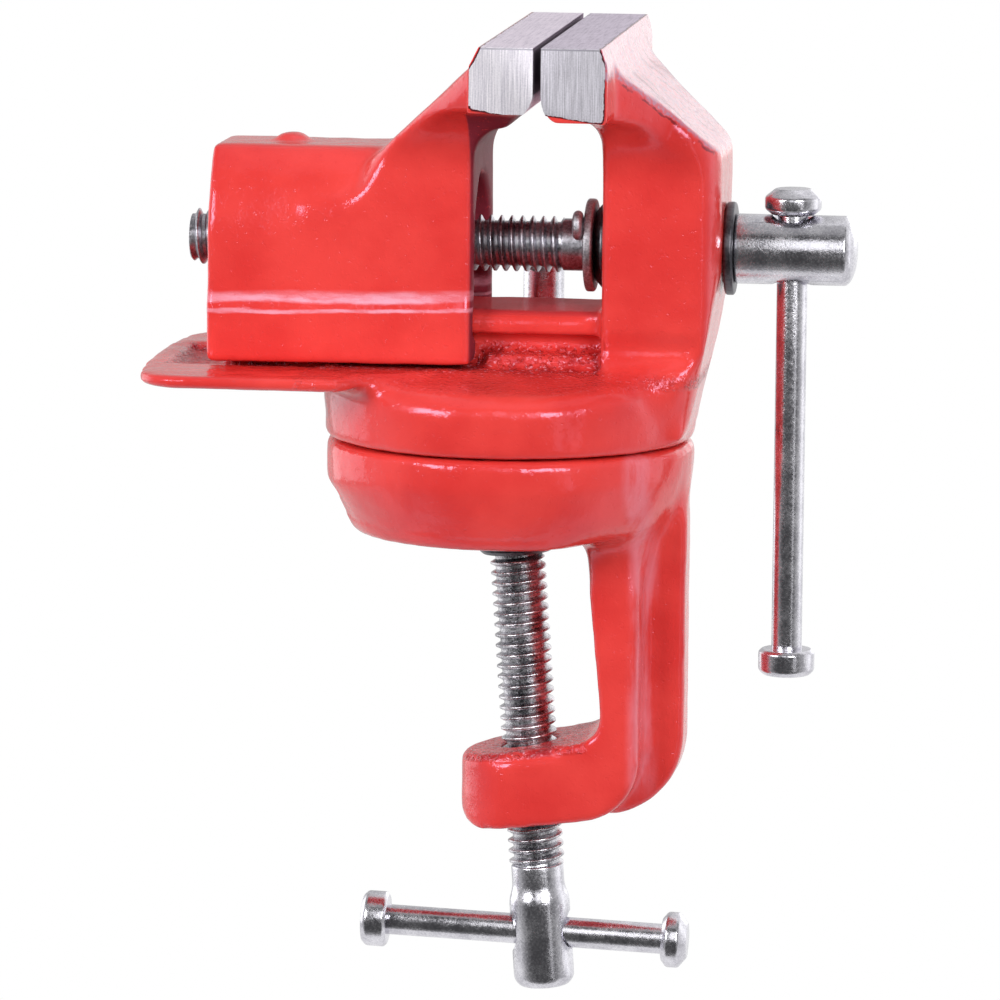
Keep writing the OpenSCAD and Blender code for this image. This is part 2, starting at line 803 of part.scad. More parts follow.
// Screw behind the rail that locks the swivel
module lock_screw() {
    bevel = 0.6;
    tip_gap = 0.1;
    color(steel)
        difference() {
            translate([lock_x, lock_y, 0])
                rotate_extrude()
                    polygon([[0, clamp_head_h + tip_gap], [lock_shank_r, clamp_head_h + tip_gap],
                        [lock_shank_r, lock_z], [lock_d / 2, lock_z], [lock_d / 2, lock_z + lock_h - bevel],
                        [lock_d / 2 - bevel, lock_z + lock_h], [0, lock_z + lock_h]]);
            translate([lock_x, lock_y, lock_bar_z])
                rotate([90, 0, 0])
                    cylinder(r = lock_bar_r + press_gap, h = 2 * lock_d, center = true);
        }
}

// Short bar pressed through the lock screw
module lock_bar() {
    color(steel)
        translate([lock_x, lock_y, lock_bar_z])
            rotate([90, 0, 0])
                cylinder(r = lock_bar_r, h = lock_bar_l, center = true);
}

clamp_frame();
pivot_bolt();
pivot_washer();
swivel_body();
moving_jaw();
main_screw();
head_washer();
thrust_washer();
dished_washer();
retaining_pin();
main_bar();
main_bar_upper_cap();
main_bar_lower_cap();
pressure_pad();
clamp_screw();
clamp_bar();
clamp_bar_left_cap();
clamp_bar_right_cap();
lock_screw();
lock_bar();
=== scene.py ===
import math

import bmesh
import bpy
from mathutils import Matrix, Vector, noise


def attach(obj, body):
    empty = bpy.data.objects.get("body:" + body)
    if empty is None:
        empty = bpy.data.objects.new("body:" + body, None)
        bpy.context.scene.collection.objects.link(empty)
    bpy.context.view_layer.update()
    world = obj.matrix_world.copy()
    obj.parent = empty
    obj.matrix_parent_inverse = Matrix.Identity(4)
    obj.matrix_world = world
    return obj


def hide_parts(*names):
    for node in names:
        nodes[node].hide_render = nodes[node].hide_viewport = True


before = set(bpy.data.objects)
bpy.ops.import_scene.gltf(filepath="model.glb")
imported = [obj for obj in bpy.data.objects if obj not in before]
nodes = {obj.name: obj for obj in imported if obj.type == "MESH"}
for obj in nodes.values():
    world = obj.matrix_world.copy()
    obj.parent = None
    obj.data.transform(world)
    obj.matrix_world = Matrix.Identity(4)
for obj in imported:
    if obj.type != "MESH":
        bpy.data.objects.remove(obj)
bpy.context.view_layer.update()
scene = bpy.context.scene
MM = 0.001

# Stations of the exact model, in millimetres and degrees
SCREW_Z = 40.8
GRIP_X = 7.45
SLIDE_GRIP_X = 6.45
JAW_TOP = 71.2
JAW_HALF = 30.0
RAIL_HALF = 9.1
RAIL_Z = 32.2
DISC_R = 26.7
DISC_Z = 22.6
SLOPE_X, SLOPE_Z = 17.85, 66.5
SLOPE_NORMAL_X, SLOPE_NORMAL_Z = 0.656, 0.755
ARM_SLOPE = 0.14
SCREW_TIP = -45.95
THREAD_STOP = 7.9
HEAD_X = 31.95
HEAD_END = 49.15
BAR_X = 39.95
PITCH = 1.5
CREST_R = 3.98
CLAMP_X = 0.95
CLAMP_LEAN = 4.1
CLAMP_TOP = -3.7
CLAMP_NECK = -49.4
CLAMP_BAR_Z = -58.9
BAR_TILT = 6.2
BAR_R = 2.17
BAR_HOLE_R = 2.83
CAP_LONG = 3.7
LEFT_END, RIGHT_END = -26.0, 21.2


def turn(angle, axis):
    return Matrix.Rotation(math.radians(angle), 4, axis)


def shift(x, y, z):
    return Matrix.Translation(Vector((x, y, z)) * MM)


ALONG_X = shift(0, 0, SCREW_Z) @ turn(90, "Y")
CLAMP_AXIS = shift(CLAMP_X, 0, 0) @ turn(-CLAMP_LEAN, "Y")
CLAMP_BAR = CLAMP_AXIS @ shift(0, 0, CLAMP_BAR_Z) @ turn(BAR_TILT + 90, "Y")


# Shader helpers

def feed(tree, socket, value):
    """Link a socket to another one, or set it to a plain value."""
    if isinstance(value, bpy.types.NodeSocket):
        tree.links.new(value, socket)
    else:
        socket.default_value = value


def put(tree, kind, inputs=None, **settings):
    """Add a shader node, set its options, then fill or link its inputs."""
    node = tree.nodes.new(kind)
    for key, value in settings.items():
        setattr(node, key, value)
    for key, value in (inputs or {}).items():
        feed(tree, node.inputs[key], value)
    return node


def maths(tree, operation, a, b=0.0, c=0.0):
    return put(tree, "ShaderNodeMath", {0: a, 1: b, 2: c}, operation=operation).outputs[0]


def times(tree, first, *others):
    """Product of two or more values."""
    for other in others:
        first = maths(tree, "MULTIPLY", first, other)
    return first


def total(tree, first, *others):
    """Sum of two or more values."""
    for other in others:
        first = maths(tree, "ADD", first, other)
    return first


def less(tree, a, b):
    return maths(tree, "SUBTRACT", a, b)


def rest(tree, share):
    """What a share leaves of one."""
    return less(tree, 1.0, share)


def ramp(tree, value, low, high, to_low=0.0, to_high=1.0):
    """Smooth step of a value between two levels."""
    levels = {"Value": value, "From Min": low, "From Max": high, "To Min": to_low, "To Max": to_high}
    return put(tree, "ShaderNodeMapRange", levels, interpolation_type="SMOOTHSTEP").outputs[0]


def fade(tree, value, full, end):
    """One up to the first level, nothing from the second."""
    return ramp(tree, value, full, end, 1.0, 0.0)


def between(tree, value, start, full, late, end):
    """One from full to late, nothing before the start and after the end."""
    return times(tree, ramp(tree, value, start, full), fade(tree, value, late, end))


def blend_colour(tree, fac, a, b):
    return put(tree, "ShaderNodeMix", {0: fac, 6: a, 7: b}, data_type="RGBA").outputs[2]


def cloud(tree, vector, scale, detail, rough=0.5):
    settings = {"Vector": vector, "Scale": scale, "Detail": detail, "Roughness": rough}
    return put(tree, "ShaderNodeTexNoise", settings).outputs["Fac"]


def stretched(tree, vector, scale, rotation=(0, 0, 0)):
    return put(tree, "ShaderNodeMapping", {"Vector": vector, "Scale": scale, "Rotation": rotation}).outputs[0]


def wander(tree, vector, scale, detail, rough, reach):
    """Noise about nothing, over a reach in millimetres."""
    return times(tree, less(tree, cloud(tree, vector, scale, detail, rough), 0.5), reach)


def millimetres(tree, vector):
    """The three coordinates of a point, in millimetres."""
    scaled = put(tree, "ShaderNodeVectorMath", {0: vector, "Scale": 1 / MM}, operation="SCALE").outputs[0]
    return put(tree, "ShaderNodeSeparateXYZ", {0: scaled}).outputs


FLOAT, VECTOR = "NodeSocketFloat", "NodeSocketVector"


def group(name, numbers, results):
    """Start a node group with a vector and some numbers as inputs, and named numbers as results."""
    tree = bpy.data.node_groups.new(name, "ShaderNodeTree")
    tree.interface.new_socket("Vector", in_out="INPUT", socket_type=VECTOR)
    for label, value in numbers.items():
        tree.interface.new_socket(label, in_out="INPUT", socket_type=FLOAT).default_value = value
    for label in results:
        tree.interface.new_socket(label, in_out="OUTPUT", socket_type=FLOAT)
    return tree, tree.nodes.new("NodeGroupInput").outputs, tree.nodes.new("NodeGroupOutput").inputs


def give(tree, sockets, **values):
    """Link the results of a node group."""
    for label, value in values.items():
        tree.links.new(value, sockets[label])
    return tree


# Relief of the enamel, in millimetres, and the noise scale of its sand
WAVE_RELIEF, LUMP_RELIEF, PEEL_RELIEF, SAND_RELIEF, PIT_RELIEF = 0.16, 0.05, 0.009, 0.30, 0.02
SAND_SCALE = 1500


def make_paint_group():
    """Enamel over a sand casting: soft lumps, orange peel, pits, and sandy skin where Grain is high."""
    tree, i, o = group("enamel_skin", {"Grain": 0.0}, ("Tone", "Gloss", "Height"))
    v, grain = i["Vector"], i["Grain"]
    waves = cloud(tree, v, 130, 2, 0.45)
    lumps = cloud(tree, v, 330, 2, 0.5)
    peel = cloud(tree, v, 1300, 1, 0.4)
    sand = cloud(tree, v, SAND_SCALE, 3, 0.6)
    crumbs = ramp(tree, cloud(tree, v, 1250, 2, 0.5), 0.50, 0.70)
    pits = ramp(tree, cloud(tree, v, SAND_SCALE, 2, 0.5), 0.62, 0.72)
    rough = times(tree, grain, total(tree, sand, crumbs))
    raised = total(tree, times(tree, waves, WAVE_RELIEF), times(tree, lumps, LUMP_RELIEF),
                   times(tree, peel, PEEL_RELIEF), times(tree, rough, SAND_RELIEF))
    return give(tree, o,
                Tone=less(tree, cloud(tree, v, 70, 3, 0.55), times(tree, grain, pits, 0.9)),
                Gloss=times(tree, sand, 0.10),
                Height=less(tree, raised, times(tree, pits, PIT_RELIEF)))


# Ground ends of the jaws: which way they face, then their borders in millimetres
FIXED_END = {"Side": 1.0, "Crown": 15.55, "Crown Slope": 0.33, "Back": 16.6, "Lean": 0.05,
             "Foot": 63.3, "Tilt": -0.145, "Grip": GRIP_X}
SLIDE_END = {"Side": -1.0, "Crown": 0.85, "Crown Slope": 0.5, "Back": 2.6, "Lean": 0.0,
             "Foot": 62.35, "Tilt": 0.13, "Grip": -SLIDE_GRIP_X}
CORNER_ROUND = 1.6
STREAK_RELIEF = 0.03


def make_ground_group():
    """Ground faces of a jaw tip, with the ragged paint line at its back and foot, painted shade on its grip
    face and a painted dark band under its top edge.
    """
    tree, i, o = group("ground_tip", FIXED_END, ("Bare", "Line", "Streak", "Gripping", "Height"))
    v = i["Vector"]
    x, _, z = millimetres(tree, v)
    x = times(tree, x, i["Side"])
    fall = less(tree, JAW_TOP, z)
    crown = total(tree, i["Crown"], times(tree, fall, i["Crown Slope"]))
    back = less(tree, i["Back"], times(tree, fall, i["Lean"]))
    foot = total(tree, i["Foot"], times(tree, x, i["Tilt"]))
    depth = less(tree, maths(tree, "MINIMUM", crown, back), x)
    depth = maths(tree, "SMOOTH_MIN", depth, less(tree, z, foot), CORNER_ROUND)
    depth = total(tree, depth, wander(tree, v, 550, 4, 0.65, 0.9))
    bare = ramp(tree, depth, -0.02, 0.05)
    line = times(tree, ramp(tree, depth, -0.24, -0.12), rest(tree, bare))
    down = cloud(tree, stretched(tree, v, (6500, 6500, 130)), 1.0, 3, 0.7)
    broad = cloud(tree, stretched(tree, v, (500, 500, 60)), 1.0, 2, 0.5)
    along = cloud(tree, stretched(tree, v, (2600, 130, 1), (0, 0, 0.45)), 1.0, 3, 0.65)
    across = cloud(tree, stretched(tree, v, (260, 1300, 1), (0, 0, 0.5)), 1.0, 3, 0.65)
    speck = cloud(tree, v, 4200, 3, 0.7)
    on_top = ramp(tree, fall, 0.12, 0.06)
    front = total(tree, times(tree, down, 0.66), times(tree, broad, 0.12), times(tree, speck, 0.22))
    milled = total(tree, times(tree, along, 0.4), times(tree, across, 0.3), times(tree, speck, 0.42))
    streak = total(tree, times(tree, front, rest(tree, on_top)), times(tree, milled, on_top))
    # Painted shade: the streak turns darker in a thin band just below the top edge, for the shadow of its burr
    edge = between(tree, fall, 0.05, 0.12, 0.22, 0.34)
    streak = less(tree, streak, times(tree, edge, 0.30))
    return give(tree, o, Bare=bare, Line=line, Streak=streak,
                Gripping=fade(tree, less(tree, x, i["Grip"]), 0.02, 0.12),
                Height=times(tree, streak, STREAK_RELIEF))


def make_steel_group():
    """Plated or plain steel: fine grain and cloudy stain."""
    tree, i, o = group("steel_skin", {"Grain Scale": 4000.0}, ("Grain", "Stain", "Height"))
    v = i["Vector"]
    grain = cloud(tree, v, i["Grain Scale"], 2, 0.7)
    stain = cloud(tree, v, 300, 4, 0.6)
    return give(tree, o, Grain=grain, Stain=stain,
                Height=total(tree, times(tree, grain, 0.02), times(tree, stain, 0.03)))


ENAMEL = make_paint_group()
GROUND = make_ground_group()
STEEL = make_steel_group()


def material(name):
    mat = bpy.data.materials.new(name)
    mat.use_nodes = True
    tree = mat.node_tree
    shader = tree.nodes["Principled BSDF"]
    coords = tree.nodes.new("ShaderNodeTexCoord").outputs["Object"]
    return mat, tree, shader, coords


def use_group(tree, which, inputs):
    return put(tree, "ShaderNodeGroup", inputs, node_tree=which).outputs


RED_LIGHT = (0.87, 0.066, 0.056, 1)
RED_DEEP = (0.75, 0.042, 0.037, 1)
DARK_PAINT = (0.05, 0.006, 0.010, 1)
# Dark red for painted shade on the sandy skin
SAND_PAINTED_SHADE = (0.42, 0.016, 0.018, 1)
# Pale pink for painted highlights, glints and reflections on the enamel
PINK_HIGHLIGHT = (0.92, 0.44, 0.56, 1)
# Pale lilac for the painted reflection on the slope behind the fixed jaw
SLOPE_SHEEN_COLOUR = (0.40, 0.33, 0.46, 1)
# Near black for the painted shade on the grip faces, in the deep gap between the jaws
GRIP_GAP_SHADE = (0.06, 0.045, 0.06, 1)
# Dark red for the painted shade on the rail's top
RAIL_SHADE = (0.55, 0.028, 0.028, 1)
# Near black red for the painted shade on the sliding jaw's inner face and in its hollow
INNER_SHADE = (0.13, 0.012, 0.028, 1)
GLOSS_TINT = (1.0, 0.66, 1.0, 1)
COAT = 0.12
COAT_ROUGHNESS = 0.05
PAINT_ROUGHNESS = 0.12
PLAIN_GRAIN = 0.04
TIP_METALLIC = 0.45


# Where the paint is sandy or matt, and where painted shade, highlights and reflections lie, at stations in
# millimetres

def rough_cast(tree, coords):
    """Where the base keeps its sandy skin: the tongue's pocket and round the foot of the web."""
    x, y, z = millimetres(tree, coords)
    aside = maths(tree, "ABSOLUTE", y)
    rim = maths(tree, "MAXIMUM", ramp(tree, aside, 10.2, 11.2), fade(tree, x, -48.4, -47.6))
    tongue = times(tree, fade(tree, x, -28, -25), rim)
    upright = times(tree, ramp(tree, x, 13, 15), ramp(tree, z, 23.2, 24.6))
    plain = times(tree, ramp(tree, aside, 11, 16, 0.0, 0.85), ramp(tree, x, -28, -25))
    band = between(tree, z, 21.8, 22.6, 26.2, 28.0)
    for smooth in (tongue, upright, plain):
        band = times(tree, band, rest(tree, smooth))
    return band


def rail_top_matt_and_shade(tree, coords):
    """Flat top of the rail: rougher paint, darkened with painted shade."""
    x, _, z = millimetres(tree, coords)
    return times(tree, between(tree, z, 31.3, 32.0, 32.6, 33.0), fade(tree, x, 13.0, 13.8))


def inner_face_shade(tree, coords):
    """Painted shade, dark and speckled, on the sliding jaw's face toward the upright and in the hollow behind
    it; the paint there is also rougher.
    """
    x, y, z = millimetres(tree, coords)
    face = times(tree, ramp(tree, x, -4.7, -4.3), fade(tree, z, 60.2, 61.2))
    aside = maths(tree, "ABSOLUTE", y)
    hollow = times(tree, ramp(tree, x, -14.0, -10.0), fade(tree, aside, 10.2, 11.0), fade(tree, z, 50.0, 52.0))
    speck = ramp(tree, cloud(tree, coords, SAND_SCALE, 3, 0.6), 0.62, 0.72, 1.0, 0.55)
    return times(tree, maths(tree, "MAXIMUM", face, hollow), speck)


def rough_arm(tree, coords):
    """Sandy skin on top of the clamp's arm."""
    x, _, z = millimetres(tree, coords)
    over = total(tree, z, times(tree, x, -ARM_SLOPE))
    return times(tree, ramp(tree, over, -32.6, -32.0), fade(tree, z, -29.5, -28.5), fade(tree, x, 11.0, 13.0))


def crease_highlight(tree, coords):
    """Painted highlight along the crease of the sliding jaw's skirt, and a thin highlight line below it."""
    x, _, z = millimetres(tree, coords)
    ragged = wander(tree, stretched(tree, coords, (90, 90, 400)), 1.0, 4, 0.6, 1.5)
    height = total(tree, z, times(tree, x, -0.02), ragged)
    band = between(tree, height, 33.5, 34.1, 34.4, 35.6)
    line = between(tree, height, 32.1, 32.4, 32.6, 32.95)
    patchy = ramp(tree, cloud(tree, stretched(tree, coords, (120, 120, 500)), 1.0, 5, 0.7), 0.36, 0.62)
    middle = ramp(tree, maths(tree, "ABSOLUTE", total(tree, x, 22)), 10, 22, 1.0, 0.6)
    sheen_mask = total(tree, band, times(tree, line, 0.9))
    return times(tree, sheen_mask, middle, total(tree, times(tree, patchy, 0.55), 0.35))


def groove_reflection(tree, coords):
    """Painted pink reflection, patchy, down the hollow beside the clamp's rib."""
    x, _, z = millimetres(tree, coords)
    strip = between(tree, x, 17.6, 19.4, 20.4, 22.6)
    patchy = ramp(tree, cloud(tree, stretched(tree, coords, (260, 260, 70)), 1.0, 4, 0.6), 0.34, 0.62)
    return times(tree, strip, ramp(tree, z, -40, -34), patchy, 0.30)


def slope_sheen_and_line(tree, coords):
    """Painted reflection, pale and speckled, on the slope behind the fixed jaw, and the ragged dark paint line
    along its edges.
    """
    x, y, z = millimetres(tree, coords)
    rise = total(tree, times(tree, less(tree, x, SLOPE_X), SLOPE_NORMAL_X),
                 times(tree, less(tree, z, SLOPE_Z), SLOPE_NORMAL_Z))
    ragged = total(tree, rise, wander(tree, coords, 420, 4, 0.7, 1.5))
    speck = ramp(tree, cloud(tree, coords, SAND_SCALE, 3, 0.6), 0.38, 0.60)
    pale_sheen = times(tree, ramp(tree, ragged, -0.7, -0.3), total(tree, times(tree, speck, 0.45), 0.24))
    line = between(tree, ragged, -1.05, -0.85, -0.75, -0.55)
    gaps = ramp(tree, cloud(tree, coords, 260, 3, 0.6), 0.42, 0.56)
    side = ramp(tree, maths(tree, "ABSOLUTE", y), 9, 11)
    return pale_sheen, times(tree, line, gaps, side, 0.7)


def red_paint(name, tip=None, sandy=None, highlight_mask=None, sloped=False, tones=None, matt_shade=None, shade_colour=None):
    """Red enamel.

    tip and tones give the borders and the two greys of a ground jaw end. sandy says where the paint is rough,
    with painted shade and painted glints on it; highlight_mask says where a painted pink highlight or
    reflection lies;
    matt_shade says where the paint is matt and darkened with painted shade in shade_colour; sloped adds the
    painted reflection on the slope behind the fixed jaw and the dark paint line along its edges."""
    mat, tree, shader, coords = material(name)
    grain = PLAIN_GRAIN
    if sandy:
        sand = sandy(tree, coords)
        grain = total(tree, times(tree, sand, 0.9), PLAIN_GRAIN)
    skin = use_group(tree, ENAMEL, {"Vector": coords, "Grain": grain})
    colour = blend_colour(tree, ramp(tree, skin["Tone"], 0.3, 0.7), RED_DEEP, RED_LIGHT)
    if sandy:
        # Painted shade: patches of the sandy skin turn dark red, for the shadow in its rough hollows and under
        # the rail
        shade = ramp(tree, cloud(tree, coords, 190, 4, 0.65), 0.34, 0.60, 0.95, 0.15)
        colour = blend_colour(tree, times(tree, sand, shade), colour, SAND_PAINTED_SHADE)
        # Painted glints: pale pink specks on the sandy skin, standing in for its sparkle
        painted_glint = ramp(tree, cloud(tree, coords, 1700, 3, 0.6), 0.58, 0.66)
        colour = blend_colour(tree, times(tree, sand, painted_glint, 0.55), colour, PINK_HIGHLIGHT)
    rough = total(tree, skin["Gloss"], PAINT_ROUGHNESS)
    height = skin["Height"]
    coat = COAT
    if sloped:
        # Painted reflection on the slope, then the dark paint line along its edges
        pale_sheen, line = slope_sheen_and_line(tree, coords)
        colour = blend_colour(tree, line, blend_colour(tree, pale_sheen, colour, SLOPE_SHEEN_COLOUR), DARK_PAINT)
    # Painted shade: where matt_shade is high the paint turns shade_colour and gets rougher
    if matt_shade:
        flat = matt_shade(tree, coords)
        colour = blend_colour(tree, times(tree, flat, 0.85), colour, shade_colour)
        rough = total(tree, rough, times(tree, flat, 0.6))
    # Painted highlight: the paint turns pale pink and a little rougher where highlight_mask is high
    if highlight_mask:
        sheen_mask = highlight_mask(tree, coords)
        colour = blend_colour(tree, sheen_mask, colour, PINK_HIGHLIGHT)
        rough = total(tree, rough, times(tree, sheen_mask, 0.3))
    if tip:
        tipped = use_group(tree, GROUND, dict(tip, Vector=coords))
        bare, streak = tipped["Bare"], tipped["Streak"]
        painted = rest(tree, bare)
        metal = blend_colour(tree, ramp(tree, streak, 0.34, 0.66), *tones)
        # Painted shade: the bare grip face turns near black, for the deep gap between the jaws
        metal = blend_colour(tree, times(tree, tipped["Gripping"], 0.9), metal, GRIP_GAP_SHADE)
        colour = blend_colour(tree, tipped["Line"], colour, DARK_PAINT)
        colour = blend_colour(tree, bare, colour, metal)
        rough = total(tree, times(tree, rough, painted),
                      times(tree, bare, ramp(tree, streak, 0.2, 0.8, 0.60, 0.42)))
        height = total(tree, times(tree, height, painted), times(tree, bare, tipped["Height"]))
        coat = times(tree, painted, COAT)
        feed(tree, shader.inputs["Metallic"], times(tree, bare, TIP_METALLIC))
    bump = put(tree, "ShaderNodeBump", {"Strength": 1.0, "Distance": MM, "Height": height}).outputs[0]
    for label, value in (("Base Color", colour), ("Roughness", rough), ("Coat Weight", coat),
                         ("Coat Roughness", COAT_ROUGHNESS), ("Specular Tint", GLOSS_TINT),
                         ("Normal", bump), ("Coat Normal", bump)):
        feed(tree, shader.inputs[label], value)
    return mat


def steel(name, dark, light, rough_low, rough_high, grain_scale, bump_mm=1.0):
    """Steel that wavers between two tones and two roughnesses."""
    mat, tree, shader, coords = material(name)
    skin = use_group(tree, STEEL, {"Vector": coords, "Grain Scale": grain_scale})
    mixed = total(tree, times(tree, skin["Grain"], 0.5), times(tree, skin["Stain"], 0.5))
    bump = put(tree, "ShaderNodeBump", {"Strength": 0.6, "Distance": bump_mm * MM, "Height": skin["Height"]})
    for label, value in (("Base Color", blend_colour(tree, ramp(tree, mixed, 0.35, 0.65), dark, light)),
                         ("Roughness", ramp(tree, mixed, 0.3, 0.7, rough_low, rough_high)),
                         ("Metallic", 1.0), ("Normal", bump.outputs[0])):
        feed(tree, shader.inputs[label], value)
    return mat


PAINT_CLAMP = red_paint("red_enamel_clamp", sandy=rough_arm, highlight_mask=groove_reflection)
PAINT_BASE = red_paint("red_enamel_base", sandy=rough_cast, sloped=True, matt_shade=rail_top_matt_and_shade, shade_colour=RAIL_SHADE)
PAINT_JAW = red_paint("red_enamel_jaw", highlight_mask=crease_highlight, matt_shade=inner_face_shade, shade_colour=INNER_SHADE)
TIP_FIXED = red_paint("ground_tip_fixed", sloped=True, tip=FIXED_END,
                      tones=((0.32, 0.31, 0.35, 1), (0.76, 0.745, 0.80, 1)))
TIP_SLIDE = red_paint("ground_tip_slide", tip=SLIDE_END,
                      tones=((0.47, 0.45, 0.51, 1), (0.99, 0.96, 1.0, 1)))
PLATED = steel("plated_steel", (0.52, 0.51, 0.56, 1), (0.82, 0.81, 0.86, 1), 0.16, 0.31, 3000.0, 1.6)
THREAD = steel("thread_steel", (0.22, 0.215, 0.24, 1), (0.60, 0.59, 0.64, 1), 0.26, 0.44, 2500.0)
BRIGHT = steel("bright_thread", (0.16, 0.155, 0.175, 1), (0.82, 0.81, 0.85, 1), 0.20, 0.36, 4200.0, 3.0)
WASHER = steel("washer_steel", (0.24, 0.24, 0.26, 1), (0.66, 0.66, 0.70, 1), 0.42, 0.62, 3200.0, 3.0)
# Dark steel; on the pressure pad it is painted shade
DARK_STEEL_AND_SHADE = steel("dark_steel", (0.05, 0.05, 0.06, 1), (0.15, 0.145, 0.16, 1), 0.28, 0.46, 2200.0)


# Shape helpers

WELD = 1e-6
SHARP_ANGLE = 35
TURN_STEPS = 72
THREAD_STEPS = 40
DRILL_LONG = 30


def everything(bm):
    return bm.verts[:] + bm.edges[:] + bm.faces[:]


def show(bm, name, body, mat, replaced, place=None, sharp=SHARP_ANGLE):
    """Turn a working mesh into a shown piece that rides on a body."""
    if place is not None:
        bmesh.ops.transform(bm, matrix=place, verts=bm.verts)
    bmesh.ops.remove_doubles(bm, verts=bm.verts, dist=WELD)
    bmesh.ops.recalc_face_normals(bm, faces=bm.faces)
    mesh = bpy.data.meshes.new(name)
    bm.to_mesh(mesh)
    bm.free()
    mesh.shade_smooth()
    mesh.set_sharp_from_angle(angle=math.radians(sharp))
    mesh.materials.append(mat)
    obj = bpy.data.objects.new(name, mesh)
    scene.collection.objects.link(obj)
    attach(obj, body)
    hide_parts(*replaced)
    return obj


def turned(corners, closed=False):
    """Round body about local Z from (radius, height, rounding) corners in millimetres."""
    bm = bmesh.new()
    verts = [bm.verts.new((r * MM, 0, h * MM)) for r, h, _ in corners]
    pairs = list(zip(verts, verts[1:])) + ([(verts[-1], verts[0])] if closed else [])
    for pair in pairs:
        bm.edges.new(pair)
    for vert, (_, _, radius) in zip(verts, corners):
        if radius:
            bmesh.ops.bevel(bm, geom=[vert], offset=radius * MM, offset_type="OFFSET", segments=4,
                            profile=0.5, affect="VERTICES", material=-1)
    bmesh.ops.spin(bm, geom=bm.verts[:] + bm.edges[:], cent=(0, 0, 0), axis=(0, 0, 1), angle=math.tau,
                   steps=TURN_STEPS, use_merge=True)
    bmesh.ops.remove_doubles(bm, verts=bm.verts, dist=1e-7)
    return bm


def threaded(root, land, top, start, end):
    """Right-hand thread about local Z, cut square at both heights and capped.

    land and top are the shares of the pitch that lie flat at the root and at the crest."""
    turns = math.ceil((end - start) / PITCH) + 2
    crest_at = (1 + land - top) / 2
    shape = ((0.0, root), (land, root), (crest_at - 0.03, CREST_R - 0.07), (crest_at + 0.01, CREST_R),
             (crest_at + top - 0.01, CREST_R), (crest_at + top + 0.03, CREST_R - 0.07), (1.0, root))
    bm = bmesh.new()
    verts = [bm.verts.new((r * MM, 0, (start + (t - 1.5) * PITCH) * MM)) for t, r in shape]
    for pair in zip(verts, verts[1:]):
        bm.edges.new(pair)
    bmesh.ops.spin(bm, geom=bm.verts[:] + bm.edges[:], cent=(0, 0, 0), axis=(0, 0, 1),
                   angle=math.tau * turns, steps=turns * THREAD_STEPS,
                   dvec=(0, 0, PITCH / THREAD_STEPS * MM))
    bmesh.ops.remove_doubles(bm, verts=bm.verts, dist=WELD)
    for height, way in ((start, -1), (end, 1)):
        bmesh.ops.bisect_plane(bm, geom=everything(bm), plane_co=(0, 0, height * MM), plane_no=(0, 0, way),
                               clear_outer=True, dist=1e-8)
        rim = [e for e in bm.edges
               if e.is_boundary and all(abs(v.co.z - height * MM) < WELD for v in e.verts)]
        bmesh.ops.edgeloop_fill(bm, edges=rim)
    return bm


def nip(bm, height, way, radius, slope):
    """Turn down the end of a round body to a bevel."""
    for v in bm.verts:
        r = math.hypot(v.co.x, v.co.y)
        most = (radius + slope * (v.co.z / MM - height) * way) * MM
        if r > most > 0:
            v.co.x *= most / r
            v.co.y *= most / r


def bake(obj):
    """Keep the result of the modifiers as the mesh."""
    bpy.context.view_layer.update()
    result = bpy.data.meshes.new_from_object(obj.evaluated_get(bpy.context.evaluated_depsgraph_get()))
    obj.modifiers.clear()
    old, obj.data = obj.data, result
    bpy.data.meshes.remove(old)


def drill(obj, place):
    """Cut the round hole for a bar through a piece and break its edge."""
    bm = bmesh.new()
    bmesh.ops.create_cone(bm, cap_ends=True, segments=64, radius1=BAR_HOLE_R * MM, radius2=BAR_HOLE_R * MM,
                          depth=DRILL_LONG * MM)
    bmesh.ops.transform(bm, matrix=place, verts=bm.verts)
    mesh = bpy.data.meshes.new("cutter")
    bm.to_mesh(mesh)
    bm.free()
    cutter = bpy.data.objects.new("cutter", mesh)
    scene.collection.objects.link(cutter)
    cut = obj.modifiers.new("hole", "BOOLEAN")
    cut.object = cutter
    cut.operation = "DIFFERENCE"
    cut.solver = "EXACT"
    rim = obj.modifiers.new("rim", "BEVEL")
    rim.width = 0.25 * MM
    rim.segments = 2
    rim.limit_method = "ANGLE"
    rim.angle_limit = math.radians(50)
    bake(obj)
    bpy.data.objects.remove(cutter)
    obj.data.shade_smooth()
    obj.data.set_sharp_from_angle(angle=math.radians(SHARP_ANGLE))


# Castings: smoothing passes on plain faces and at most, and lengths of the waves in millimetres
ROUNDS = 12
MOST = 170
BROAD_WAVE = 8.0
FINE_WAVE, FINE_SWELL = 2.6, 0.05


def exact_solid(node):
    """Merged working copy of an exact solid."""
    bm = bmesh.new()
    bm.from_mesh(nodes[node].data)
    bmesh.ops.remove_doubles(bm, verts=bm.verts, dist=WELD)
    return bm


